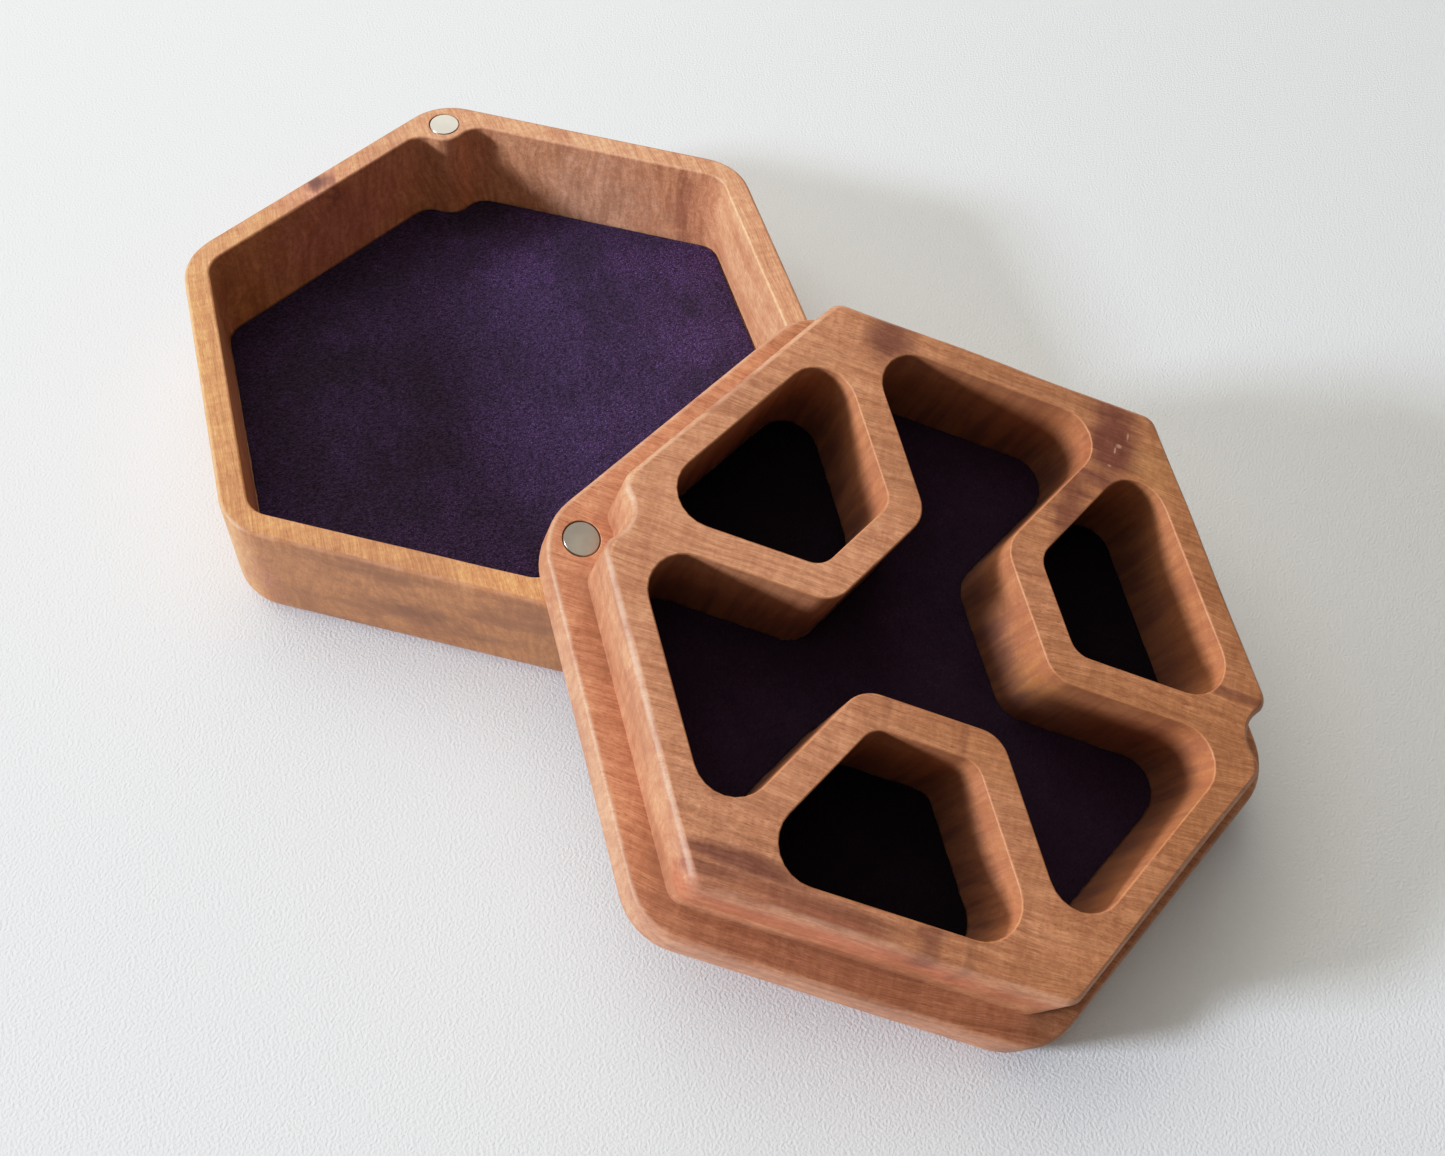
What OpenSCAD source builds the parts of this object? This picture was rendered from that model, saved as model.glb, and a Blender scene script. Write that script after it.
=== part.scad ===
// Hexagonal wooden dice tray with a nesting storage half
// Two loose milled halves: a rolling tray with a velvet floor, and a storage block whose raised plug
// fits the tray's recess. Disc magnets in two opposite corners of each half hold the closed box.
// The tray stands on its underside. The storage half leans on the tray's rim, open side up.

/* [Outline shared by both halves] */
// Width across the flats of the hexagon
across_flats = 110; // [106:0.5:120]
// Radius of the upright outer corners
corner_r = 11; // [9:0.5:12]
// Radius of the rounded lower edge
foot_r = 4.5; // [2:0.25:5]
// Radius of the small round on the rim and the shoulder
rim_r = 0.8; // [0.4:0.1:1.2]

/* [Tray] */
// Height of the tray
tray_h = 24.5; // [22:0.5:32]
// Wood left under the tray's recess
tray_floor = 4; // [3:0.5:6]
// Width of the rim along the flats
rim_w = 4.7; // [4.2:0.1:6]
// Corner radius of the recess, the radius of its milling cutter
recess_r = 5; // [4:0.25:6]
// Radius of the wooden boss that carries a tray magnet
boss_r = 4.55; // [4:0.05:5]

/* [Storage half] */
// Thickness of the base, from its underside to the shoulder
base_h = 11.7; // [9:0.1:14]
// Height of the plug above the shoulder
plug_h = 13.3; // [10:0.1:17]
// Gap between the plug and the recess on each side
plug_gap = 0.45; // [0.3:0.05:0.8]
// Radius of the plug's upright corners
plug_corner_r = 3; // [2:0.25:4]
// Radius of the notch around each magnet
notch_r = 5.2; // [4.8:0.05:5.6]
// Chamfer on the plug's top edge
plug_chamfer = 1; // [0.5:0.1:1.5]
// Wood left under the pockets
pocket_floor = 5.7; // [3:0.1:8]
// Wall between the pockets and the plug's side
pocket_wall = 4.85; // [4:0.05:6]
// Thickness of the ribs between pockets
rib_w = 5.3; // [4:0.1:7]
// Distance from the centre to the inner side of a closed pocket
pocket_inner = 19.6; // [18:0.1:22]
// Radius of a pocket's outer corners
pocket_outer_r = 6; // [4:0.25:7]
// Radius of a closed pocket's inner corners
pocket_inner_r = 4; // [3:0.25:4.5]
// Radius of the rounded wall ends that face the centre pocket
rib_end_r = 5.5; // [4:0.25:6]

/* [Magnets and liners] */
// Magnet diameter
magnet_d = 6; // [5:0.5:6]
// Magnet thickness
magnet_t = 2; // [1.5:0.5:3]
// Distance from a half's centre to its magnets
magnet_pos = 56.5; // [56:0.1:57]
// Radial gap between a magnet and its seat
magnet_gap = 0.1; // [0.05:0.05:0.15]
// Chamfer on the magnet's edges
magnet_chamfer = 0.2; // [0.1:0.05:0.3]
// Thickness of the velvet liners
liner_t = 1; // [0.8:0.1:1.5]
// Gap between a liner and the walls around it
liner_gap = 0.25; // [0.1:0.05:0.5]

/* [How the storage half leans] */
// Lean of the storage half
lean = 15.5; // [10:0.5:18]
// Turn of the storage half about its own axis
turn = 0.7; // [0:0.1:3]

/* [Hidden] */
$fn = 48;
wood_colour = [0.76, 0.50, 0.34];
velvet_colour = [0.27, 0.18, 0.36];
dark_velvet_colour = [0.10, 0.06, 0.12];
magnet_colour = [0.78, 0.77, 0.73];
arc_step = 7.5;      // degrees between the points of an arc
cut = 0.5;           // how far a cut runs past the face it opens
rest_gap = 0.05;     // keeps the storage half just clear of the rim and the table
corners = [for (k = [0:5]) 60 * k];
magnet_corners = [0, 180];
near_pocket = 90;
right_pocket = 210;
left_pocket = 330;
arm_angles = [30, 150, 270];
apothem = across_flats / 2;
recess_apothem = apothem - rim_w;
plug_apothem = recess_apothem - plug_gap;
pocket_outer = plug_apothem - pocket_wall;
centre_inner = pocket_inner - rib_w;
storage_h = base_h + plug_h;
seat_r = magnet_d / 2 + magnet_gap;
tray_turn = 90;      // puts a magnet corner on +Y
lean_side = -60;     // side of the tray that the storage half leans on
far_side = 150;      // side of the storage half that is on the table

// Where the storage half rests: its lowest corner is on the table, and its underside touches the round
// on the tray's rim. rest_z is the height of its underside's centre, and rest_shift is how far that
// centre is from the tray's.
low_reach = (apothem - corner_r) / cos(30) * cos(30 - turn) + corner_r - foot_r;
rest_z = low_reach * sin(lean) + foot_r * (1 - cos(lean));
rest_shift = apothem - rim_r + ((tray_h - rim_r - rest_z) * cos(lean) + rim_r) / sin(lean);

function at(radius, angle) = radius * [cos(angle), sin(angle)];
function turned(points, angle) = [
    for (p = points) [p.x * cos(angle) - p.y * sin(angle), p.x * sin(angle) + p.y * cos(angle)]
];
function arc(centre, r, from, to) =
    let (steps = ceil(abs(to - from) / arc_step))
    [for (i = [0:steps]) centre + at(r, from + (to - from) * i / steps)];

// Corners given as [x, y, radius], anticlockwise; a corner that turns clockwise is filleted inwards.
function rounded(c) = [
    for (i = [0:len(c) - 1])
        let (
            here = [c[i].x, c[i].y],
            back = [c[(i + len(c) - 1) % len(c)].x, c[(i + len(c) - 1) % len(c)].y] - here,
            ahead = [c[(i + 1) % len(c)].x, c[(i + 1) % len(c)].y] - here,
            side = sign(ahead.x * back.y - ahead.y * back.x),
            u = back / norm(back),
            v = ahead / norm(ahead),
            half = acos(u * v) / 2,
            centre = here + (u + v) / norm(u + v) * c[i][2] / sin(half),
            from = atan2(-u.y, -u.x) - side * 90
        )
        each arc(centre, c[i][2], from, from + side * (180 - 2 * half))
];

// One plain corner of a hexagon, and one corner that runs round a magnet in a round notch or boss.
function plain_corner(a, r) = arc([(a - r) / cos(30), 0], r, -30, 30);
function magnet_corner(a, r, around_r) =
    let (
        beyond = magnet_pos * cos(30) - (a - r),
        along = sqrt(pow(r + around_r, 2) - pow(beyond, 2)),
        fillet = [magnet_pos - beyond * cos(30) - along * sin(30), along * cos(30) - beyond * sin(30)],
        facing = atan2(fillet.y, magnet_pos - fillet.x)
    )
    concat(
        arc([fillet.x, -fillet.y], r, -30, facing),
        arc([magnet_pos, 0], around_r, 180 + facing, 180 - facing),
        arc(fillet, r, -facing, 30)
    );
function has_magnet(angle) = angle == magnet_corners[0] || angle == magnet_corners[1];
function magnet_hexagon(a, r, around_r) = [
    for (angle = corners)
        each turned(has_magnet(angle) ? magnet_corner(a, r, around_r) : plain_corner(a, r), angle)
];

// Half the width of a pocket at a distance from the centre, its side offset from the rib's middle.
function half_width(distance, offset) = distance * tan(30) - offset / cos(30);
function recess_outline(gap) = magnet_hexagon(recess_apothem - gap, recess_r - gap, boss_r + gap);
plug_outline = magnet_hexagon(plug_apothem, plug_corner_r, notch_r);
function pocket_outline(gap) =
    let (
        near = pocket_inner + gap,
        far = pocket_outer - gap,
        y_near = half_width(near, rib_w / 2 + gap),
        y_far = half_width(far, rib_w / 2 + gap)
    )
    rounded([
        [near, -y_near, pocket_inner_r - gap],
        [far, -y_far, pocket_outer_r - gap],
        [far, y_far, pocket_outer_r - gap],
        [near, y_near, pocket_inner_r - gap]
    ]);
function centre_outline(gap) =
    let (
        far = pocket_outer - gap,
        near = centre_inner - gap,
        y_far = half_width(far, rib_w / 2 + gap),
        y_near = half_width(near, -rib_w / 2 - gap),
        arm = [[far, -y_far], [far, y_far]],
        wall = turned([[near, -y_near], [near, y_near]], 60)
    )
    rounded([
        for (angle = arm_angles)
            each concat(
                [for (p = turned(arm, angle)) [p.x, p.y, pocket_outer_r - gap]],
                [for (p = turned(wall, angle)) [p.x, p.y, rib_end_r + gap]]
            )
    ]);

module tray_place() rotate(tray_turn) children();

module storage_place() {
    centre = at(rest_shift, lean_side);
    translate([centre.x, centre.y, rest_z + rest_gap])
        rotate([0, lean, lean_side])
            rotate(turn - far_side)
                children();
}

// Solid hexagonal block with a rounded lower edge and a small round on its upper edge.
module hexagonal_block(height) {
    hull()
        for (angle = corners)
            rotate(angle) translate([(apothem - corner_r) / cos(30), 0, 0])
                rotate_extrude()
                    polygon(concat(
                        [[0, 0]],
                        arc([corner_r - foot_r, foot_r], foot_r, -90, 0),
                        arc([corner_r - rim_r, height - rim_r], rim_r, 0, 90),
                        [[0, height]]
                    ));
}

module magnet_seats(top) {
    for (angle = magnet_corners)
        rotate(angle) translate([magnet_pos, 0, top - magnet_t])
            cylinder(r = seat_r, h = magnet_t + cut);
}

module magnet(angle, top) {
    r = magnet_d / 2;
    c = magnet_chamfer;
    color(magnet_colour)
        rotate(angle) translate([magnet_pos, 0, top - magnet_t])
            rotate_extrude()
                polygon([[0, 0], [r - c, 0], [r, c], [r, magnet_t - c], [r - c, magnet_t], [0, magnet_t]]);
}

module liner(outline, floor_z) {
    translate([0, 0, floor_z]) linear_extrude(liner_t) polygon(outline);
}

module tray_shell() {
    color(wood_colour)
        tray_place()
            difference() {
                hexagonal_block(tray_h);
                translate([0, 0, tray_floor]) linear_extrude(tray_h) polygon(recess_outline(0));
                magnet_seats(tray_h);
            }
}

module tray_liner() {
    color(velvet_colour) tray_place() liner(recess_outline(liner_gap), tray_floor);
}

module tray_magnet_far() {
    tray_place() magnet(magnet_corners[0], tray_h);
}

module tray_magnet_near() {
    tray_place() magnet(magnet_corners[1], tray_h);
}

module plug() {
    straight_h = plug_h - plug_chamfer;
    translate([0, 0, base_h - cut]) linear_extrude(straight_h + cut) polygon(plug_outline);
    translate([0, 0, base_h + straight_h])
        linear_extrude(plug_chamfer, scale = 1 - plug_chamfer / plug_apothem) polygon(plug_outline);
}

module pocket(outline) {
    translate([0, 0, pocket_floor]) linear_extrude(storage_h) polygon(outline);
}

module storage_block() {
    color(wood_colour)
        storage_place()
            difference() {
                union() {
                    hexagonal_block(base_h);
                    plug();
                }
                for (angle = [near_pocket, right_pocket, left_pocket])
                    pocket(turned(pocket_outline(0), angle));
                pocket(centre_outline(0));
                magnet_seats(base_h);
            }
}

module centre_liner() {
    color(dark_velvet_colour) storage_place() liner(centre_outline(liner_gap), pocket_floor);
}

module pocket_liner(angle) {
    color(dark_velvet_colour)
        storage_place() liner(turned(pocket_outline(liner_gap), angle), pocket_floor);
}

module storage_magnet_left() {
    storage_place() magnet(magnet_corners[0], base_h);
}

module storage_magnet_right() {
    storage_place() magnet(magnet_corners[1], base_h);
}

tray_shell();
tray_liner();
tray_magnet_far();
tray_magnet_near();
storage_block();
centre_liner();
pocket_liner(near_pocket);  // pocket_liner_near
pocket_liner(right_pocket);  // pocket_liner_right
pocket_liner(left_pocket);  // pocket_liner_left
storage_magnet_left();
storage_magnet_right();
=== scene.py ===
"""Looks for the hexagonal dice tray and its storage half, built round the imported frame.

Each wooden half is rebuilt with eased edges in place of its CAD node, the velvet liners are laid
sheets, and the magnets keep their CAD shapes. Lengths are in metres. Outlines are drawn in a half's own
axes, with X towards its first magnet, and are then put where the frame says that half rests.
"""

import math

import bmesh
import bpy
from mathutils import Matrix, Vector, noise
from mathutils.geometry import delaunay_2d_cdt


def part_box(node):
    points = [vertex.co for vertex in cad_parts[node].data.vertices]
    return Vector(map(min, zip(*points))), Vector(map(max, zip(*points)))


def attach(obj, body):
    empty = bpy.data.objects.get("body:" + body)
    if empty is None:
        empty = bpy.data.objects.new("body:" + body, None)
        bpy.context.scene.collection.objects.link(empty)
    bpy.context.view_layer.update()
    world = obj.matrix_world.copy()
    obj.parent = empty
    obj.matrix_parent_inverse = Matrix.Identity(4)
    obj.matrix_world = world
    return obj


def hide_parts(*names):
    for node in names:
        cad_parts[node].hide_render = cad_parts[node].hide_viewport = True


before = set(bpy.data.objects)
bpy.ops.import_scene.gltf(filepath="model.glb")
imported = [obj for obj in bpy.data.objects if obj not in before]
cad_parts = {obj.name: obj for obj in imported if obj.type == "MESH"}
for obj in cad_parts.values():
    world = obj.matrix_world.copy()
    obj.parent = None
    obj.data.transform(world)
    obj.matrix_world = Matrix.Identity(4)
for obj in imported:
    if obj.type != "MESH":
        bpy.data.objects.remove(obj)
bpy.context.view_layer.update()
MM = 0.001


def middle(node):
    """Mean of a CAD node's corners at rest."""
    corners = [v.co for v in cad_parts[node].data.vertices]
    return sum(corners, Vector()) / len(corners)


# ---- sizes ---------------------------------------------------------------------------------------

TRAY_LOW, TRAY_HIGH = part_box("tray_shell")
ACROSS_FLATS = TRAY_HIGH.x - TRAY_LOW.x
TRAY_H = TRAY_HIGH.z - TRAY_LOW.z
CORNER_R = 11 * MM
FOOT_R = 4.5 * MM
RIM_R = 0.8 * MM
RIM_W = 4.7 * MM
TRAY_FLOOR = 4 * MM
RECESS_R = 5 * MM
BOSS_R = 4.55 * MM
BASE_H = 11.7 * MM
PLUG_H = 13.3 * MM
PLUG_GAP = 0.45 * MM
PLUG_CORNER_R = 3 * MM
NOTCH_R = 5.2 * MM
POCKET_FLOOR = 5.7 * MM
POCKET_WALL = 4.85 * MM
RIB_W = 5.3 * MM
POCKET_INNER = 19.6 * MM
POCKET_OUTER_R = 6 * MM
POCKET_INNER_R = 4 * MM
RIB_END_R = 5.5 * MM
MAGNET_T = 2 * MM
MAGNET_POS = 56.5 * MM
SEAT_R = 3.1 * MM
LINER_T = 1 * MM
LINER_GAP = 0.25 * MM

APOTHEM = ACROSS_FLATS / 2
RECESS_APOTHEM = APOTHEM - RIM_W
PLUG_APOTHEM = RECESS_APOTHEM - PLUG_GAP
POCKET_OUTER = PLUG_APOTHEM - POCKET_WALL
CENTRE_INNER = POCKET_INNER - RIB_W
STORAGE_H = BASE_H + PLUG_H

# Eased edges, as sanding leaves them.
RECESS_EASE = 0.5 * MM
PLUG_EASE = 1.0 * MM
PLUG_SLOPE = 0.55          # how much of that edge is a flat slope
MOUTH_EASE = 0.3 * MM
SEAT_EASE = 0.12 * MM
OIL_AND_SHADE_FADE = 0.8             # share by which a pocket wall's finish and painted shade fade from its floor to its mouth
EASE_VARIES = 0.3          # share by which an edge's round varies along it
EASE_WAVE = 14 * MM        # length over which it varies
STRAIGHT_STEP = 1.5 * MM   # spacing of points along straight stretches
ARC_STEPS = 8
SAME_POINT = 1e-7          # points closer than this are one point
SMOOTH_BELOW = 35          # edges that turn by fewer degrees than this are shaded smooth

CORNERS = [60 * k for k in range(6)]
POCKETS = {"near": 90, "right": 210, "left": 330}
ARM_ANGLES = (30, 150, 270)


# ---- where each half rests -----------------------------------------------------------------------

def axes(origin, x_axis, z_axis):
    """Matrix of a half's own axes in the row frame."""
    x_axis, z_axis = x_axis.normalized(), z_axis.normalized()
    y_axis = z_axis.cross(x_axis)
    place = Matrix((x_axis, y_axis, z_axis)).transposed().to_4x4()
    place.translation = origin
    return place


def tray_place():
    """The tray half's axes: it stands on the table, with X from its near magnet to its far one."""
    far, near = middle("tray_magnet_far"), middle("tray_magnet_near")
    origin = (far + near) / 2
    origin.z = 0
    return axes(origin, far - near, Vector((0, 0, 1)))


def storage_place():
    """The three pocket liners lie in one plane, evenly round the storage half's centre."""
    near, right, left = [middle("pocket_liner_" + name) for name in POCKETS]
    up = (right - near).cross(left - near)
    along = middle("storage_magnet_left") - middle("storage_magnet_right")
    origin = (near + right + left) / 3 - up.normalized() * (POCKET_FLOOR + LINER_T / 2)
    return axes(origin, along, up)


# ---- outlines in a half's own axes -----------------------------------------------------------------

def polar(radius, angle):
    """The point at a radius and an angle in degrees."""
    return Vector((radius * math.cos(math.radians(angle)), radius * math.sin(math.radians(angle))))


def turned(points, angle):
    turn = Matrix.Rotation(math.radians(angle), 2)
    return [turn @ p for p in points]


def arc(centre, radius, start, stop):
    return [centre + polar(radius, start + (stop - start) * i / ARC_STEPS) for i in range(ARC_STEPS + 1)]


def circle(centre, radius, count=40):
    return [centre + polar(radius, 360 * i / count) for i in range(count)]


def rounded(corners):
    """An anticlockwise outline from (point, radius) corners; clockwise turns are filleted inwards."""
    outline = []
    for i, (here, radius) in enumerate(corners):
        back = (corners[i - 1][0] - here).normalized()
        ahead = (corners[(i + 1) % len(corners)][0] - here).normalized()
        side = math.copysign(1, ahead.x * back.y - ahead.y * back.x)
        half = math.degrees(math.acos(max(-1, min(1, back.dot(ahead))))) / 2
        centre = here + (back + ahead).normalized() * radius / math.sin(math.radians(half))
        start = math.degrees(math.atan2(-back.y, -back.x)) - side * 90
        outline += arc(centre, radius, start, start + side * (180 - 2 * half))
    return outline


def plain_corner(apothem, radius):
    return arc(Vector(((apothem - radius) / math.cos(math.radians(30)), 0)), radius, -30, 30)


def magnet_corner(apothem, radius, around_r):
    """A corner that runs round its magnet in a notch or boss, with a fillet on each side."""
    cos30, sin30 = math.cos(math.radians(30)), math.sin(math.radians(30))
    beyond = MAGNET_POS * cos30 - (apothem - radius)
    along = math.sqrt((radius + around_r) ** 2 - beyond ** 2)
    fillet = Vector((MAGNET_POS - beyond * cos30 - along * sin30, along * cos30 - beyond * sin30))
    facing = math.degrees(math.atan2(fillet.y, MAGNET_POS - fillet.x))
    return (
        arc(Vector((fillet.x, -fillet.y)), radius, -30, facing)
        + arc(Vector((MAGNET_POS, 0)), around_r, 180 + facing, 180 - facing)
        + arc(fillet, radius, -facing, 30)
    )


def hexagon(apothem, radius):
    return [p for angle in CORNERS for p in turned(plain_corner(apothem, radius), angle)]


def magnet_hexagon(apothem, radius, around_r):
    return [
        p
        for angle in CORNERS
        for p in turned(
            magnet_corner(apothem, radius, around_r) if angle % 180 == 0 else plain_corner(apothem, radius),
            angle,
        )
    ]


def half_width(distance, offset):
    """Half a pocket's width at a distance from the centre, its side offset from the rib's middle."""
    return distance * math.tan(math.radians(30)) - offset / math.cos(math.radians(30))


def recess_outline(gap=0.0):
    return magnet_hexagon(RECESS_APOTHEM - gap, RECESS_R - gap, BOSS_R + gap)


def pocket_outline(gap=0.0):
    near, far = POCKET_INNER + gap, POCKET_OUTER - gap
    y_near = half_width(near, RIB_W / 2 + gap)
    y_far = half_width(far, RIB_W / 2 + gap)
    return rounded([
        (Vector((near, -y_near)), POCKET_INNER_R - gap),
        (Vector((far, -y_far)), POCKET_OUTER_R - gap),
        (Vector((far, y_far)), POCKET_OUTER_R - gap),
        (Vector((near, y_near)), POCKET_INNER_R - gap),
    ])


def centre_outline(gap=0.0):
    far, near = POCKET_OUTER - gap, CENTRE_INNER - gap
    y_far = half_width(far, RIB_W / 2 + gap)
    y_near = half_width(near, -RIB_W / 2 - gap)
    corners = []
    for angle in ARM_ANGLES:
        arm = turned([Vector((far, -y_far)), Vector((far, y_far))], angle)
        wall = turned([Vector((near, -y_near)), Vector((near, y_near))], angle + 60)
        corners += [(p, POCKET_OUTER_R - gap) for p in arm]
        corners += [(p, RIB_END_R + gap) for p in wall]
    return rounded(corners)


def filled_in(points):
    """The outline again, with points added along its straight stretches."""
    outline = []
    for i, p in enumerate(points):
        ahead = points[(i + 1) % len(points)]
        if (ahead - p).length > SAME_POINT:
            pieces = max(1, round((ahead - p).length / STRAIGHT_STEP))
            outline += [p.lerp(ahead, k / pieces) for k in range(pieces)]
    return outline


# ---- building a solid from rings ---------------------------------------------------------------------

def wander(point, size, seed):
    """Smooth noise from -1 to 1 that changes over size metres."""
    return noise.noise(Vector((point.x / size, point.y / size, seed)))


def round_over(radius, height, steps=5):
    """(inset, height, easing) from an upright wall over its top edge."""
    turns = [math.radians(90 * i / steps) for i in range(steps + 1)]
    return [(radius * (1 - math.cos(t)), height - radius + radius * math.sin(t), radius) for t in turns]


def bevel_over(size, height, flat, steps=6):
    """Like round_over, but with a flatter, sanded slope; flat is the slope's share of the shape."""
    rounded_off = round_over(size, height, steps)
    slope = [(size * i / steps, height - size + size * i / steps) for i in range(steps + 1)]
    return [
        (inset + (a - inset) * flat, level + (b - level) * flat, size)
        for (inset, level, _), (a, b) in zip(rounded_off, slope)
    ]


def round_under(radius, steps=8):
    """(inset, height, easing) from a flat underside round its lower edge to the upright wall."""
    turns = [math.radians(90 * i / steps) for i in range(steps + 1)]
    return [(radius * (1 - math.sin(t)), radius * (1 - math.cos(t)), radius) for t in turns]


def wall(low, high, steps):
    """(inset, height, easing) up an upright wall, short of its upper end."""
    return [(0.0, low + (high - low) * i / steps, 0.0) for i in range(steps)]


class Solid:
    """One closed mesh, made of rings joined into walls and flat faces between them."""

    def __init__(self):
        self.bm = bmesh.new()
        self.edge = self.bm.verts.layers.float.new("edge")
        self.soak = self.bm.verts.layers.float.new("soak")
        self.oil_and_shade = self.bm.verts.layers.float.new("oil_and_shade")

    def walls(self, outline, profile, hole=False, varies=EASE_VARIES, seed=0.0, oiled_and_shaded=False):
        """Walls that follow an outline through a profile; returns the first and last ring. Outer walls
        darken where they cut across the fibres; in a pocket the finish pools and painted shade deepens
        towards the floor."""
        points = filled_in(outline)
        out = []
        for i, p in enumerate(points):
            along = (points[(i + 1) % len(points)] - p).normalized() + (p - points[i - 1]).normalized()
            along.normalize()
            out.append(Vector((-along.y, along.x)) if hole else Vector((along.y, -along.x)))
        top = profile[-1][1]
        depth = top - profile[0][1]
        rings = []
        for inset, height, easing in profile:
            ring = []
            for p, n in zip(points, out):
                share = 1 + varies * wander(p, EASE_WAVE, seed) if easing else 1
                at = p - n * inset * share
                vert = self.bm.verts.new((at.x, at.y, top - (top - height) * share))
                vert[self.edge] = math.sin(math.pi * inset / easing) if easing else 0.0
                if height < top and not hole:
                    vert[self.soak] = abs(n.x)
                # A pocket wall's value rises towards its floor, for its glossier finish and its painted
                # shade.
                if height < top and oiled_and_shaded:
                    vert[self.oil_and_shade] = 1 - OIL_AND_SHADE_FADE * (height - profile[0][1]) / depth
                ring.append(vert)
            rings.append(ring)
        for a, b in zip(rings, rings[1:]):
            for i in range(len(a)):
                self.bm.faces.new((a[i - 1], a[i], b[i], b[i - 1]))
        return rings[0], rings[-1]

    def face(self, *rings):
        """A flat face bounded by an outer ring, less the rings inside it."""
        edges = []
        for ring in rings:
            edges += [self.bm.edges.get((ring[i - 1], ring[i])) for i in range(len(ring))]
        bmesh.ops.triangle_fill(self.bm, use_beauty=True, use_dissolve=False, edges=edges)

    def finish(self, name, place, material):
        """The object, in the row frame, with its own axes kept in millimetres for the wood's grain."""
        bmesh.ops.recalc_face_normals(self.bm, faces=self.bm.faces)
        grain = self.bm.verts.layers.float_vector.new("grain")
        for v in self.bm.verts:
            v[grain] = v.co / MM
        for e in self.bm.edges:
            e.smooth = e.calc_face_angle(0.0) < math.radians(SMOOTH_BELOW)
        for f in self.bm.faces:
            f.smooth = True
        mesh = bpy.data.meshes.new(name)
        self.bm.to_mesh(mesh)
        self.bm.free()
        mesh.transform(place)
        mesh.materials.append(material)
        obj = bpy.data.objects.new(name, mesh)
        bpy.context.scene.collection.objects.link(obj)
        weighted = obj.modifiers.new("weighted_normals", "WEIGHTED_NORMAL")
        weighted.keep_sharp = True
        weighted.weight = 100
        return obj


# ---- node helper -------------------------------------------------------------------------------------

class Nodes:
    """Short calls for building one material's node tree."""

    def __init__(self, name):
        self.material = bpy.data.materials.new(name)
        self.material.use_nodes = True
        self.tree = self.material.node_tree
        self.shader = self.tree.nodes["Principled BSDF"]

    def put(self, socket, value):
        if isinstance(value, bpy.types.NodeSocket):
            self.tree.links.new(value, socket)
        else:
            socket.default_value = value

    def node(self, kind, *values, **settings):
        made = self.tree.nodes.new(kind)
        for key, value in settings.items():
            setattr(made, key, value)
        for socket, value in zip([s for s in made.inputs if s.enabled], values):
            if value is not None:
                self.put(socket, value)
        return made

    def attribute(self, name):
        return self.node("ShaderNodeAttribute", attribute_name=name)

    def noise(self, at, scale, shift=(0, 0, 0), detail=2.0, roughness=0.5, output="Fac"):
        """Noise with scale waves per unit along each axis; shift sets it apart from the other noises."""
        mapping = self.node("ShaderNodeMapping", at)
        mapping.inputs["Scale"].default_value = scale
        mapping.inputs["Location"].default_value = shift
        made = self.node("ShaderNodeTexNoise")
        self.put(made.inputs["Vector"], mapping.outputs[0])
        made.inputs["Scale"].default_value = 1.0
        made.inputs["Detail"].default_value = detail
        made.inputs["Roughness"].default_value = roughness
        return made.outputs[output]

    def math(self, operation, a, b=0.0, c=0.0):
        return self.node("ShaderNodeMath", a, b, c, operation=operation).outputs[0]

    def vector(self, operation, a, b=(0, 0, 0), c=(0, 0, 0)):
        return self.node("ShaderNodeVectorMath", a, b, c, operation=operation)

    def between(self, value, low, high):
        """0 below low, 1 above high, smooth between them."""
        made = self.node("ShaderNodeMapRange", interpolation_type="SMOOTHSTEP")
        self.put(made.inputs["Value"], value)
        made.inputs["From Min"].default_value = low
        made.inputs["From Max"].default_value = high
        return made.outputs[0]

    def mixed(self, share, a, b):
        made = self.node("ShaderNodeMix", data_type="RGBA")
        self.put(made.inputs[0], share)
        self.put(made.inputs[6], a if isinstance(a, bpy.types.NodeSocket) else (*a, 1))
        self.put(made.inputs[7], b if isinstance(b, bpy.types.NodeSocket) else (*b, 1))
        return made.outputs[2]

    def shaded(self, colour, grey, depth, tint=(0.75, 1.05, 1.25)):
        """The colour made lighter and darker by a noise, by about half of depth each way; tint is how
        strongly each of its channels follows, so that the darker parts of wood turn redder."""
        swing = [depth * t for t in tint]
        level = [1 - depth * t / 2 for t in tint]
        share = self.vector("MULTIPLY_ADD", self.between(grey, 0.30, 0.70), swing, level).outputs[0]
        return self.vector("MULTIPLY", colour, share).outputs[0]

    def bump(self, height, strength, distance, normal=None):
        made = self.node("ShaderNodeBump")
        made.inputs["Strength"].default_value = strength
        made.inputs["Distance"].default_value = distance
        self.put(made.inputs["Height"], height)
        if normal is not None:
            self.put(made.inputs["Normal"], normal)
        return made.outputs[0]


# ---- materials ---------------------------------------------------------------------------------------

# Linear colours of the wood and of what marks it.
BROWN = (0.245, 0.092, 0.042)
STREAK = (0.105, 0.040, 0.026)
KNOT = (0.135, 0.036, 0.024)
PALE = (0.80, 0.46, 0.30)
RED = (0.30, 0.088, 0.046)
AMBER = (0.60, 0.28, 0.055)
DUSK = (0.20, 0.056, 0.036)
CUT = (0.46, 0.162, 0.058)
# Painted shade for the depth of the pockets.
POCKET_SHADE = (0.15, 0.060, 0.044)
GOLD = (0.78, 0.36, 0.12)
HONEY = (0.60, 0.29, 0.11)
ROSE = (0.60, 0.22, 0.17)
RUSSET = (0.56, 0.160, 0.072)
PALE_PATCH = (0.88, 0.43, 0.23)
RING = 1.3                 # spacing of growth rings, in millimetres like all the wood's lengths


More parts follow.
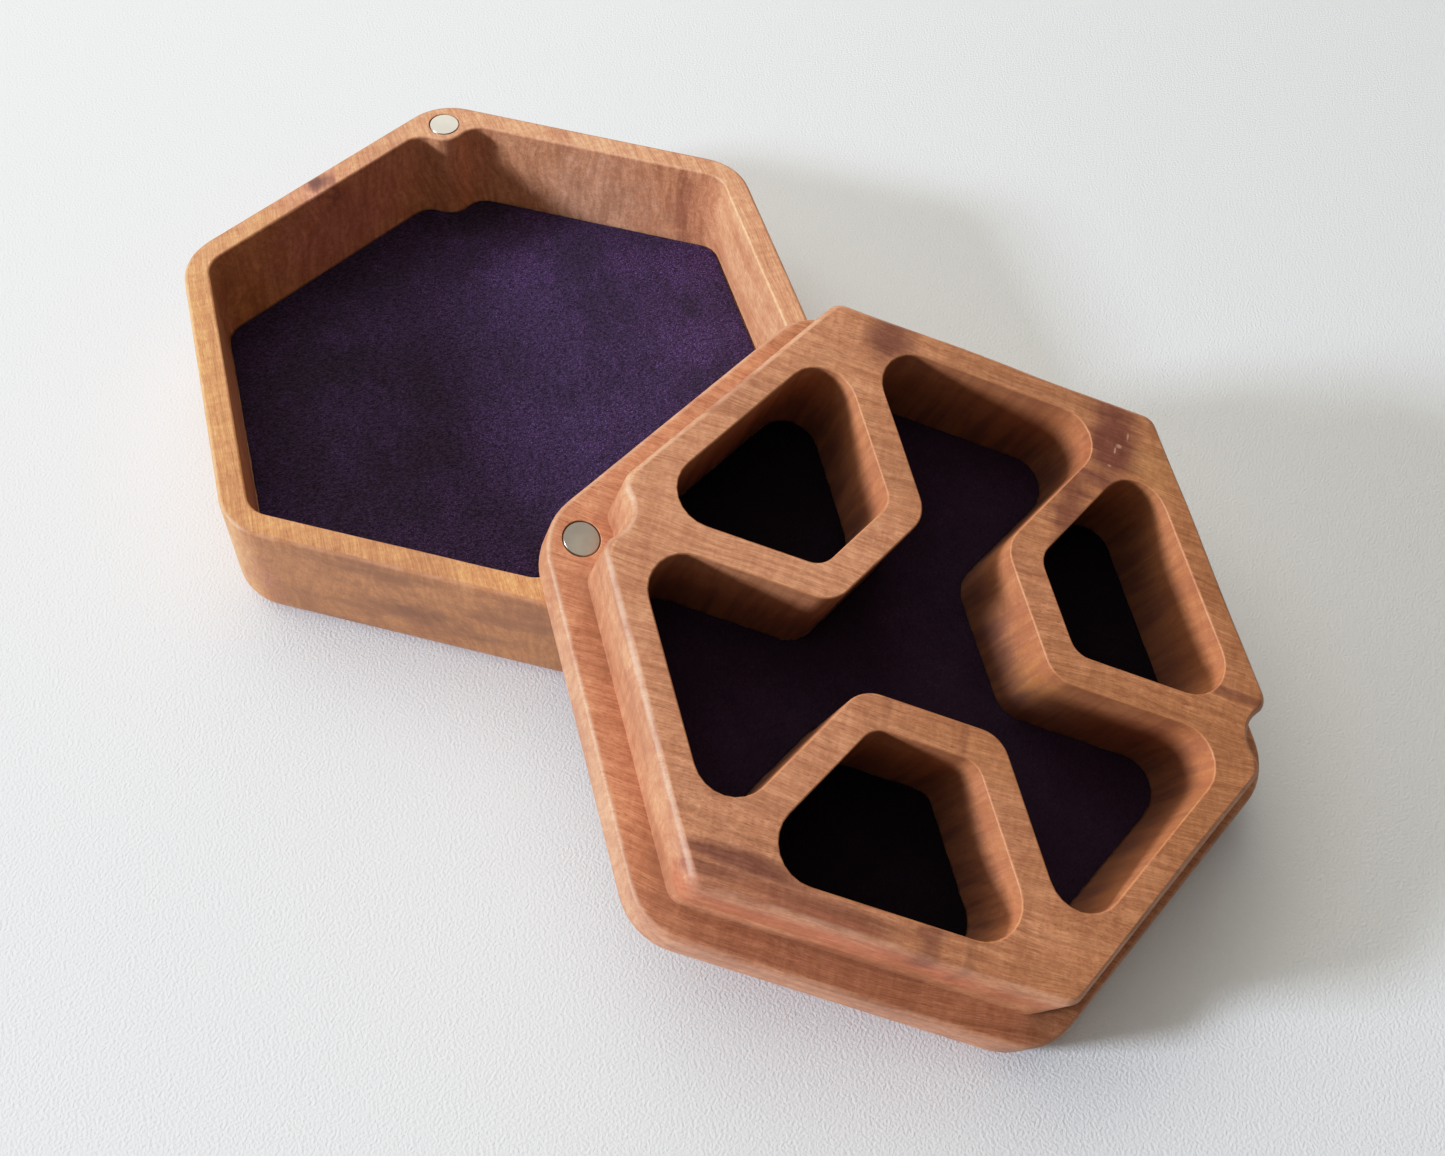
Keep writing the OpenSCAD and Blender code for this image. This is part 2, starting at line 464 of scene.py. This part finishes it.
def stained(n, colour, at, bent, seed, marks):
    """The colour with soft-edged stains, drawn out along the fibres."""
    ragged = n.noise(bent, (0.06, 0.5, 0.4), (seed, 7, 3), detail=4)
    for centre, size, strength, stain in marks:
        apart = n.vector("SUBTRACT", at, centre).outputs[0]
        apart = n.vector("DIVIDE", apart, size).outputs[0]
        reach = n.vector("LENGTH", apart).outputs["Value"]
        reach = n.math("ADD", reach, n.math("MULTIPLY", n.math("SUBTRACT", ragged, 0.5), 1.6))
        inside_mark = n.between(reach, 1.2, 0.3)
        colour = n.mixed(n.math("MULTIPLY", inside_mark, strength), colour, stain)
    return colour


def oiled_and_shaded(n, colour, at, oil_and_shade, seed):
    """The colour on a pocket's wall: warmer where it was cut, with runs, and painted shade that is darkest
    at the floor.
    """
    runs = n.noise(at, (0.55, 0.55, 0.05), (seed, 5, 1), detail=4, roughness=0.65)
    cut = n.between(oil_and_shade, 0.05, 0.2)
    colour = n.mixed(n.math("MULTIPLY", cut, 0.55), colour, CUT)
    run = n.math("MULTIPLY", cut, n.between(runs, 0.42, 0.62))
    colour = n.mixed(n.math("MULTIPLY", run, 0.36), colour, RED)
    # Painted shade, deepest at the floor and uneven along the runs.
    shade_strength = n.math("MULTIPLY_ADD", n.between(runs, 0.36, 0.66), 0.35, 0.55)
    return n.mixed(n.math("MULTIPLY", n.between(oil_and_shade, 0.28, 0.85), shade_strength), colour, POCKET_SHADE)


def wood(name, seed, pith, hues, turn, soaked, marks):
    """Oiled cherry-like wood, its fibres along local X and its growth rings round a line through pith.
    The wood goes from the first of two hues to the second along turn, soaked is how dark its end grain
    is, and marks are stains as (centre, half sizes, strength, colour)."""
    n = Nodes(name)
    at = n.attribute("grain").outputs["Vector"]

    # The fibres wander, up to a few millimetres to each side.
    drift = n.noise(at, (0.010, 0.024, 0.024), (seed, 0, 0), detail=3, output="Color")
    drift = n.vector("SUBTRACT", drift, (0.5, 0.5, 0.5)).outputs[0]
    drift = n.vector("MULTIPLY", drift, (0, 18, 18)).outputs[0]
    bent = n.vector("ADD", at, drift).outputs[0]

    # Growth rings, each with a darker late part, stronger in some years than in others.
    from_pith = n.vector("MULTIPLY", n.vector("SUBTRACT", bent, pith).outputs[0], (0, 1, 1)).outputs[0]
    ring_at = n.math("DIVIDE", n.vector("LENGTH", from_pith).outputs["Value"], RING)
    year = n.node("ShaderNodeTexWhiteNoise", n.math("FLOOR", ring_at), noise_dimensions="1D")
    year = year.outputs["Value"]
    late = n.math("POWER", n.math("FRACT", ring_at), 4.0)
    ring = n.math("MULTIPLY", late, n.between(year, 0.35, 1.0))

    # Figure in waves per millimetre, mostly drawn out along X: bands, lines, fibres, ripple, pores, flecks.
    broad = n.noise(bent, (0.008, 0.075, 0.06), (0, seed, 0), detail=3)
    lines = n.noise(bent, (0.014, 1.2, 0.16), (0, 0, seed), detail=3, roughness=0.65)
    fibres = n.noise(bent, (0.30, 4.0, 4.0), (seed, seed, 0), detail=3, roughness=0.75)
    ripple = n.noise(at, (0.30, 0.08, 0.08), (seed, 0, seed), detail=3)
    pores = n.noise(bent, (0.9, 6.0, 6.0), (0, seed, seed), detail=1)
    flecks = n.noise(at, (1.2, 0.55, 0.9), (seed, 0, 4), detail=3, roughness=0.6)

    # Colour from the broad to the fine.
    side = n.vector("DOT_PRODUCT", at, turn).outputs["Value"]
    patch = n.noise(bent, (0.014, 0.035, 0.035), (seed, 2, 5), detail=2)
    share = n.between(n.math("ADD", side, n.math("MULTIPLY", patch, 2.0)), 0.45, 1.55)
    colour = n.mixed(share, hues[0], hues[1])
    colour = n.mixed(n.math("MULTIPLY", n.between(broad, 0.50, 0.76), 0.40), colour, BROWN)
    colour = n.mixed(n.math("MULTIPLY", ring, 0.30), colour, BROWN)
    colour = n.mixed(n.math("MULTIPLY", n.between(pores, 0.56, 0.74), 0.46), colour, RED)

    colour = stained(n, colour, at, bent, seed, marks)
    for grey, depth in ((lines, 0.38), (fibres, 0.38), (flecks, 0.22), (ripple, 0.18)):
        colour = n.shaded(colour, grey, depth)

    # What the finish and wear have done to it, with painted shade deep in the pockets and painted highlights
    # on the eased edges.
    soak = n.attribute("soak").outputs["Fac"]
    blotch = n.noise(at, (0.055, 0.055, 0.17), (seed, 3, seed), detail=4, roughness=0.6)
    darkened = n.math("MULTIPLY_ADD", n.between(blotch, 0.46, 0.68), 0.40, soaked)
    colour = n.mixed(n.math("MULTIPLY", soak, darkened), colour, BROWN)

    oil_and_shade = n.attribute("oil_and_shade").outputs["Fac"]
    colour = oiled_and_shaded(n, colour, at, oil_and_shade, seed)
    edge = n.attribute("edge").outputs["Fac"]
    # Eased edges go paler, partly as wear and partly as a painted highlight; at pocket mouths the painted
    # glint is golden.
    wear_and_highlight = n.noise(at, (0.25, 0.25, 0.25), (seed, 1, 1), detail=3)
    wear_and_highlight = n.math("MULTIPLY", n.math("MULTIPLY", n.between(wear_and_highlight, 0.25, 0.65), 0.34), edge)
    colour = n.mixed(wear_and_highlight, colour, n.mixed(n.between(oil_and_shade, 0.03, 0.12), PALE, GOLD))
    n.put(n.shader.inputs["Base Color"], colour)

    polish = n.math("MULTIPLY", oil_and_shade, 0.10)
    rough = n.math("SUBTRACT", n.math("MULTIPLY_ADD", fibres, 0.16, 0.38), polish)
    rough = n.math("MULTIPLY_ADD", edge, 0.06, rough)
    n.put(n.shader.inputs["Roughness"], rough)
    n.shader.inputs["Specular IOR Level"].default_value = 0.38
    relief = n.math("SUBTRACT", n.math("ADD", fibres, lines), n.between(pores, 0.58, 0.74))
    n.put(n.shader.inputs["Normal"], n.bump(relief, 0.30, 0.00006))
    return n.material


def velvet(name, deep, lit, nap, dashes, sheen, seed, strokes=(), painted_shadow=None):
    """Short-pile velvet: fine dashes of pile, and nap that lies lighter or darker in soft patches and in
    strokes, given as (centre, half sizes, lift) in millimetres. A painted shadow, given as the local Y where
    it starts and ends and its drop, makes the velvet darker past that line, as a rim's shadow would."""
    n = Nodes(name)
    at = n.attribute("grain").outputs["Vector"]

    # Patches of nap, then the pile itself and the painted glints on its tips.
    brushed = n.noise(at, (0.05, 0.05, 0.05), (seed, 0, 0), detail=4, roughness=0.6)
    crushed = n.noise(at, (0.16, 0.22, 0.2), (0, 0, seed), detail=3)
    pile = n.noise(at, (3.6, 1.8, 2.0), (0, seed, 0), detail=2, roughness=0.7)
    tufts = n.noise(at, (1.4, 0.8, 0.8), (seed, seed, 0), detail=2)
    tips = n.noise(at, (3.0, 4.0, 2.0), (seed, 4, seed), detail=0)

    # How far the nap lifts, less the painted shadow, from 0 for the deep colour to 1 for the lit one.
    nap_lift_and_shadow = n.math("MULTIPLY_ADD", n.between(brushed, 0.35, 0.66), nap, 0.25)
    nap_lift_and_shadow = n.math("MULTIPLY_ADD", n.between(crushed, 0.52, 0.68), nap * 0.5, nap_lift_and_shadow)
    for centre, size, lift in strokes:
        apart = n.vector("DIVIDE", n.vector("SUBTRACT", at, centre).outputs[0], size).outputs[0]
        reach = n.vector("LENGTH", apart).outputs["Value"]
        reach = n.math("MULTIPLY_ADD", n.math("SUBTRACT", crushed, 0.5), 2.4, reach)
        nap_lift_and_shadow = n.math("MULTIPLY_ADD", n.between(reach, 1.1, 0.3), lift, nap_lift_and_shadow)
    # Painted shadow: the velvet goes darker past a soft line across local Y, where a rim's shadow falls.
    if painted_shadow:
        across = n.vector("DOT_PRODUCT", at, (0, 1, 0)).outputs["Value"]
        across = n.math("MULTIPLY_ADD", n.math("SUBTRACT", brushed, 0.5), 9.0, across)
        nap_lift_and_shadow = n.math("MULTIPLY_ADD", n.between(across, painted_shadow[0], painted_shadow[1]), -painted_shadow[2], nap_lift_and_shadow)
    colour = n.mixed(nap_lift_and_shadow, deep, lit)
    colour = n.shaded(colour, pile, dashes, (1, 1, 1))
    colour = n.shaded(colour, tufts, dashes * 0.5, (1, 1, 1))
    # Painted glints: the pile's tips turn bright where the nap lifts.
    glint = n.math("MULTIPLY", n.between(tips, 0.66, 0.78), nap_lift_and_shadow)
    colour = n.mixed(n.math("MULTIPLY", glint, dashes * 0.8), colour, [4 * part for part in lit])
    n.put(n.shader.inputs["Base Color"], colour)

    n.shader.inputs["Roughness"].default_value = 0.95
    n.shader.inputs["Specular IOR Level"].default_value = 0.1
    n.shader.inputs["Sheen Weight"].default_value = sheen
    n.shader.inputs["Sheen Roughness"].default_value = 0.5
    n.shader.inputs["Sheen Tint"].default_value = (0.62, 0.42, 0.85, 1)
    lean = n.bump(crushed, 0.25, 0.002)
    n.put(n.shader.inputs["Normal"], n.bump(n.math("ADD", pile, tufts), 0.8, 0.0004, lean))
    return n.material


def nickel(name, light, dull):
    """Nickel plating with faint rubbing marks, clouded from a light tone to a duller one."""
    n = Nodes(name)
    at = n.node("ShaderNodeTexCoord").outputs["Object"]
    rubs = n.noise(at, (400, 5200, 3000), detail=3, roughness=0.7)
    clouds = n.noise(at, (260, 260, 260), detail=2)
    n.put(n.shader.inputs["Base Color"], n.mixed(n.between(clouds, 0.35, 0.7), light, dull))
    n.shader.inputs["Metallic"].default_value = 1.0
    n.put(n.shader.inputs["Roughness"], n.math("ADD", 0.24, n.math("MULTIPLY", rubs, 0.12)))
    n.put(n.shader.inputs["Normal"], n.bump(rubs, 0.12, 0.00002))
    return n.material


def table_top():
    """Pale, finely pebbled surface under the object."""
    n = Nodes("pale_table")
    at = n.node("ShaderNodeTexCoord").outputs["Object"]
    pebbles = n.noise(at, (2100, 2100, 2100), detail=2, roughness=0.5)
    cloud = n.noise(at, (5, 5, 5), detail=1)
    n.put(n.shader.inputs["Base Color"], n.mixed(cloud, (0.80, 0.81, 0.81), (0.81, 0.815, 0.81)))
    n.shader.inputs["Roughness"].default_value = 0.5
    n.put(n.shader.inputs["Normal"], n.bump(pebbles, 0.7, 0.00024))
    return n.material


# ---- pieces ------------------------------------------------------------------------------------------

def outer_block(solid, height):
    """The rounded hexagon from its underside to the small round on its upper edge."""
    profile = round_under(FOOT_R) + wall(FOOT_R, height - RIM_R, 4)[1:] + round_over(RIM_R, height)
    bottom, top = solid.walls(hexagon(APOTHEM, CORNER_R), profile, varies=0)
    solid.face(bottom)
    return top


def sunk(solid, outline, floor, height, ease, seed, oiled_and_shaded=False):
    """A recess with an eased mouth; returns the ring at its mouth."""
    profile = wall(floor, height - ease, 3) + round_over(ease, height, 4)
    bottom, mouth = solid.walls(outline, profile, hole=True, seed=seed, oiled_and_shaded=oiled_and_shaded)
    solid.face(bottom)
    return mouth


def magnet_seats(solid, height):
    """The two round holes that the magnets are pressed into; returns the rings at their mouths."""
    mouths = []
    for x in (MAGNET_POS, -MAGNET_POS):
        mouths.append(sunk(solid, circle(Vector((x, 0)), SEAT_R), height - MAGNET_T, height, SEAT_EASE, 0.0))
    return mouths


def tray(place, material):
    solid = Solid()
    rim = outer_block(solid, TRAY_H)
    recess = sunk(solid, recess_outline(), TRAY_FLOOR, TRAY_H, RECESS_EASE, 3.1)
    solid.face(rim, recess, *magnet_seats(solid, TRAY_H))
    return solid.finish("tray_wood", place, material)


def storage(place, material):
    solid = Solid()
    shoulder = outer_block(solid, BASE_H)
    profile = wall(BASE_H, STORAGE_H - PLUG_EASE, 4) + bevel_over(PLUG_EASE, STORAGE_H, PLUG_SLOPE)
    outline = magnet_hexagon(PLUG_APOTHEM, PLUG_CORNER_R, NOTCH_R)
    foot, top = solid.walls(outline, profile, seed=7.7)
    solid.face(shoulder, foot, *magnet_seats(solid, BASE_H))
    mouths = [sunk(solid, centre_outline(), POCKET_FLOOR, STORAGE_H, MOUTH_EASE, 1.3, True)]
    for k, angle in enumerate(POCKETS.values()):
        outline = turned(pocket_outline(), angle)
        mouths.append(sunk(solid, outline, POCKET_FLOOR, STORAGE_H, MOUTH_EASE, 4.0 + k, True))
    solid.face(top, *mouths)
    return solid.finish("storage_wood", place, material)


# ---- velvet liners -----------------------------------------------------------------------------------

NAP_STEP = 2.2 * MM       # spacing of points over a liner's top
NAP_MARGIN = 1.2 * MM     # how far those points stay from its edge
NAP_RISE = 0.14 * MM      # how far the pile rises and falls
NAP_WAVE = 9 * MM         # length over which it does
FRAY = 0.12 * MM          # how far the cut edge wanders
FRAY_WAVE = 0.9 * MM      # length over which it does
CUT_EDGE = ((0.0, 0.0), (0.0, 0.6), (0.12 * MM, 0.85), (0.4 * MM, 0.97))  # inset, share of the thickness


def inside(point, outline):
    """True if a point is inside an outline."""
    within = False
    for a, b in zip(outline, outline[1:] + outline[:1]):
        if (a.y > point.y) != (b.y > point.y):
            if point.x < a.x + (b.x - a.x) * (point.y - a.y) / (b.y - a.y):
                within = not within
    return within


def liner(name, outline, inner, floor, place, material, seed):
    """A velvet sheet cut to an outline: soft at the cut edge, its pile slightly uneven on top."""
    solid = Solid()
    edge = [
        p + Vector((wander(p, FRAY_WAVE, seed), wander(p, FRAY_WAVE, seed + 9))) * FRAY
        for p in filled_in(outline)
    ]
    profile = [(inset, floor + share * LINER_T, 0.0) for inset, share in CUT_EDGE]
    bottom, top = solid.walls(edge, profile, varies=0)
    solid.face(bottom)
    rim = [v.co.xy for v in top]
    reach = max(p.length for p in rim)
    count = int(reach / NAP_STEP) + 1
    grid = [Vector((i * NAP_STEP, j * NAP_STEP)) for i in range(-count, count) for j in range(-count, count)]
    grid = [p for p in grid if inside(p, inner)]
    around = [(i, (i + 1) % len(rim)) for i in range(len(rim))]
    points, _, faces, origins, _, _ = delaunay_2d_cdt(rim + grid, around, [], 1, SAME_POINT)
    verts = []
    for p, origin in zip(points, origins):
        if origin and min(origin) < len(rim):
            verts.append(top[min(origin)])
        else:
            rise = NAP_RISE * (wander(p, NAP_WAVE, seed) + 0.4 * wander(p, NAP_WAVE / 3, seed + 4))
            verts.append(solid.bm.verts.new((p.x, p.y, floor + LINER_T + rise)))
    for face in faces:
        corners = [points[i] for i in face]
        if inside(sum(corners, Vector((0, 0))) / len(corners), rim):
            solid.bm.faces.new([verts[i] for i in face])
    return solid.finish(name, place, material)


def lay(obj, node, body, rests_on, width, length, area):
    """Attaches a liner to its body and hides the CAD node that it stands for."""
    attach(obj, body)
    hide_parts(node)


def area_of(outline):
    """The area that an outline encloses."""
    return abs(sum(a.x * b.y - a.y * b.x for a, b in zip(outline, outline[1:] + outline[:1]))) / 2


def size_of(outline):
    """Width and length of the box round an outline."""
    xs, ys = [p.x for p in outline], [p.y for p in outline]
    return max(xs) - min(xs), max(ys) - min(ys)


def add_liner(node, body, on, outline_at, turn, floor, place, material, seed):
    """One liner, from the outline of the recess that it lies in."""
    outline = outline_at(LINER_GAP)
    inner = turned(outline_at(LINER_GAP + NAP_MARGIN), turn)
    obj = liner(node + "_velvet", turned(outline, turn), inner, floor, place, material, seed)
    lay(obj, node, body, on.name, *size_of(outline), area_of(outline))


# ---- the room ----------------------------------------------------------------------------------------

# Where the photograph was taken from, in the row frame, worked out from the object's straight edges.
CAMERA_AT = Vector((-33.11, -186.35, 236.67)) * MM
CAMERA_RIGHT = Vector((0.95937, -0.27807, 0.04774))
CAMERA_AHEAD = Vector((0.19424, 0.52828, -0.82655))
CAMERA_LENS = 38.12                         # in millimetres, like the film
CAMERA_SHIFT = (0.0359, -0.0320)
FILM_WIDTH = 36
ROOM_CENTRE = Vector((0.03, -0.03, 0.0))    # on the table, about the middle of the object
TABLE_REACH = 3.0                           # from its middle to each side
TABLE_GAP = 0.02 * MM                       # keeps the table's face out of the tray's underside


def camera():
    data = bpy.data.cameras.new("camera")
    data.sensor_width = FILM_WIDTH
    data.lens = CAMERA_LENS
    data.shift_x, data.shift_y = CAMERA_SHIFT
    data.clip_start = 0.01
    obj = bpy.data.objects.new("camera", data)
    obj.matrix_world = axes(CAMERA_AT, CAMERA_RIGHT, -CAMERA_AHEAD)
    bpy.context.scene.collection.objects.link(obj)
    bpy.context.scene.camera = obj


def lamp(name, azimuth, elevation, distance, size, watts, colour):
    """A soft rectangular lamp that faces the object."""
    data = bpy.data.lights.new(name, "AREA")
    data.shape = "RECTANGLE"
    data.size, data.size_y = size
    data.energy = watts
    data.color = colour
    obj = bpy.data.objects.new(name, data)
    a, e = math.radians(azimuth), math.radians(elevation)
    back = Vector((math.cos(a) * math.cos(e), math.sin(a) * math.cos(e), math.sin(e)))
    obj.location = ROOM_CENTRE + back * distance
    obj.rotation_mode = "QUATERNION"
    obj.rotation_quaternion = (-back).to_track_quat("-Z", "Y")
    bpy.context.scene.collection.objects.link(obj)


def room():
    lamp(
        "window", azimuth=177.6, elevation=21, distance=2.0, size=(0.32, 0.27), watts=51.0,
        colour=(0.775, 0.855, 1.0),
    )
    lamp(
        "ceiling", azimuth=135, elevation=76, distance=1.2, size=(1.5, 1.5), watts=7.4,
        colour=(1.0, 0.965, 0.89),
    )
    lamp(
        "far_wall", azimuth=105, elevation=42, distance=0.8, size=(1.2, 0.8), watts=4.2,
        colour=(0.99, 0.98, 0.92),
    )
    scene = bpy.context.scene
    scene.world = bpy.data.worlds.new("room")
    scene.world.use_nodes = True
    background = scene.world.node_tree.nodes["Background"]
    background.inputs["Color"].default_value = (0.97, 0.95, 0.92, 1)
    background.inputs["Strength"].default_value = 0.10
    scene.view_settings.view_transform = "Standard"
    soften_highlights(scene.view_settings)


def soften_highlights(view):
    """Bends the brightest tones over, as a camera does, so that the lit table isn't blown out."""
    view.use_curve_mapping = True
    mapping = view.curve_mapping
    mapping.clip_max_x = 2.0
    combined = mapping.curves[3]
    combined.points[-1].location = (1.6, 1.0)
    for tone, shown in ((0.3, 0.3), (0.6, 0.6), (0.85, 0.775), (1.1, 0.89)):
        combined.points.new(tone, shown)
    mapping.update()


def table():
    """The surface under the object."""
    bm = bmesh.new()
    bmesh.ops.create_grid(bm, x_segments=4, y_segments=4, size=TABLE_REACH)
    mesh = bpy.data.meshes.new("table")
    bm.to_mesh(mesh)
    bm.free()
    mesh.materials.append(table_top())
    obj = bpy.data.objects.new("table", mesh)
    obj.location = (0, 0, -TABLE_GAP)
    bpy.context.scene.collection.objects.link(obj)


# ---- putting it together -----------------------------------------------------------------------------

# Hues go from one side of a half to the other, and marks lie in its own axes, in millimetres.
TRAY_HUES = ((0.66, 0.300, 0.150), (0.65, 0.285, 0.100))
STORAGE_HUES = ((0.66, 0.284, 0.143), (0.53, 0.210, 0.086))
TRAY_MARKS = [
    # A paler patch on the rear-right inner walls, which the window lights: partly painted light, partly
    # paler wood.
    ((37, -28, 9), (26, 16, 18), 0.36, PALE),
    ((-43.6, 25, 25), (10, 30, 6), 0.28, BROWN),
    # Rose tint on the shaded rear-left inner walls: painted bounce light in their shade.
    ((43.6, 25, 14), (13, 26, 14), 0.60, ROSE),
    ((45.6, 27, 21), (3.0, 3.4, 8), 0.95, KNOT),
    # Rose tint on the shaded left inner wall: painted bounce light in its shade.
    ((0, 50, 11), (45, 3, 9), 0.50, ROSE),
    ((32.5, -44.2, 14), (1.6, 3, 14), 0.55, RED),
    ((20, -43, 18), (9, 3.5, 9), 0.70, STREAK),
    ((-50, 30, 12), (8, 12, 3.0), 0.60, STREAK),
    ((-50, 14, 9), (8, 8, 2.5), 0.45, STREAK),
]
STORAGE_MARKS = [
    # A paler patch over the left part of the top.
    ((30, -8, 27), (38, 44, 9), 0.26, PALE_PATCH),
    ((7, 47.5, 25), (12, 2.2, 8), 0.60, DUSK),
    # A redder, darker tone over the plug's whole near side, which lies in shade: painted shade.
    ((10, 48.5, 19), (60, 3.2, 5.5), 0.85, RUSSET),
    ((0, 52, 11), (70, 5, 3.5), 0.35, RED),
    ((30, 47, 25), (34, 3.4, 4), 0.45, RED),
    ((-22, -42, 25), (6, 12, 9), 0.90, DUSK),
    ((-16.5, -27, 25), (3.5, 12, 9), 0.70, DUSK),
    ((-30, -39, 25), (5, 7, 9), 0.40, HONEY),
    ((19, -46, 25), (5, 6, 9), 0.80, DUSK),
    ((-6, 47, 25), (2.5, 5, 10), 0.60, DUSK),
    ((-12, 48, 25), (1.2, 5, 10), 0.40, DUSK),
    ((22, 44.6, 25), (11, 1.8, 8), 0.75, DUSK),
    ((30, 47, 25), (7, 1.4, 8), 0.45, DUSK),
    ((-47, -5, 25), (16, 1.0, 9), 0.60, DUSK),
    ((-5.5, 17, 25), (0.9, 6, 9), 0.45, RED),
    ((6.8, 15, 25), (0.9, 5, 9), 0.40, RED),
    ((-15, 2, 17), (8, 6, 6), 0.60, AMBER),
    ((-24.5, -44, 25), (0.25, 0.9, 6), 0.50, PALE),
    ((-23.2, -41.6, 25), (0.5, 0.35, 6), 0.50, PALE),
    ((-22.6, -40.6, 25), (0.2, 0.7, 6), 0.50, PALE),
    ((-22, -37.4, 25), (0.45, 0.25, 6), 0.50, PALE),
]

tray_at = tray_place()
storage_at = storage_place()
tray_look = wood(
    "tray_cherry", seed=3.0, pith=(0, 110, -45), hues=TRAY_HUES, turn=(-0.011, 0.011, 0.0),
    soaked=0.55, marks=TRAY_MARKS,
)
tray_wood = tray(tray_at, tray_look)
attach(tray_wood, "tray")
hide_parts("tray_shell")
storage_look = wood(
    "storage_cherry", seed=11.0, pith=(0, -70, -60), hues=STORAGE_HUES, turn=(-0.012, -0.005, 0.0),
    soaked=0.34, marks=STORAGE_MARKS,
)
storage_wood = storage(storage_at, storage_look)
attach(storage_wood, "storage")
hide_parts("storage_block")

# Where the tray's nap was stroked lighter or darker.
NAP_STROKES = [
    ((34, -10, 5), (7, 10, 9), 0.7),
    ((27, -44, 5), (9, 8, 9), 0.9),
    ((29, -31, 5), (6, 7, 9), 0.5),
    ((4, -38, 5), (7, 10, 9), 0.7),
    ((13.5, -41.5, 5), (4, 4.5, 9), -0.45),
    ((15, -24, 5), (8, 8, 9), -0.30),
    ((50, -4, 5), (9, 14, 9), -0.40),
]
purple = velvet(
    "purple_velvet", deep=(0.021, 0.0125, 0.026), lit=(0.043, 0.0215, 0.067),
    nap=0.45, dashes=1.35, sheen=0.10, seed=2.0, strokes=NAP_STROKES, painted_shadow=(8, 14, 0.24),
)
dusk_purple = velvet(
    "dusk_purple_velvet", deep=(0.012, 0.0045, 0.011), lit=(0.031, 0.015, 0.033),
    nap=0.3, dashes=0.3, sheen=0.05, seed=6.0,
)
# The pocket liners get a darker copy of the storage velvet: painted shade deep in the pockets.
pocket_shade_purple = velvet(
    "pocket_shade_velvet", deep=(0.002, 0.001, 0.002), lit=(0.007, 0.003, 0.008),
    nap=0.3, dashes=0.3, sheen=0.02, seed=6.0,
)
add_liner("tray_liner", "tray", tray_wood, recess_outline, 0, TRAY_FLOOR, tray_at, purple, 2.0)
add_liner(
    "centre_liner", "storage", storage_wood, centre_outline, 0, POCKET_FLOOR, storage_at, dusk_purple, 5.0,
)
for pocket_name, pocket_angle in POCKETS.items():
    add_liner(
        "pocket_liner_" + pocket_name, "storage", storage_wood, pocket_outline, pocket_angle,
        POCKET_FLOOR, storage_at, pocket_shade_purple, pocket_angle / 60,
    )

# The storage half's magnets get a darker copy of the same nickel: a painted darker reflection.
bright_plate = nickel("bright_nickel", light=(0.56, 0.53, 0.46), dull=(0.49, 0.46, 0.40))
darker_reflection_plate = nickel("darker_reflection_nickel", light=(0.38, 0.345, 0.29), dull=(0.32, 0.29, 0.25))
for cad_name, cad_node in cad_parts.items():
    if "magnet" in cad_name:
        cad_node.data.materials.clear()
        cad_node.data.materials.append(bright_plate if "tray" in cad_name else darker_reflection_plate)

table()
room()
camera()
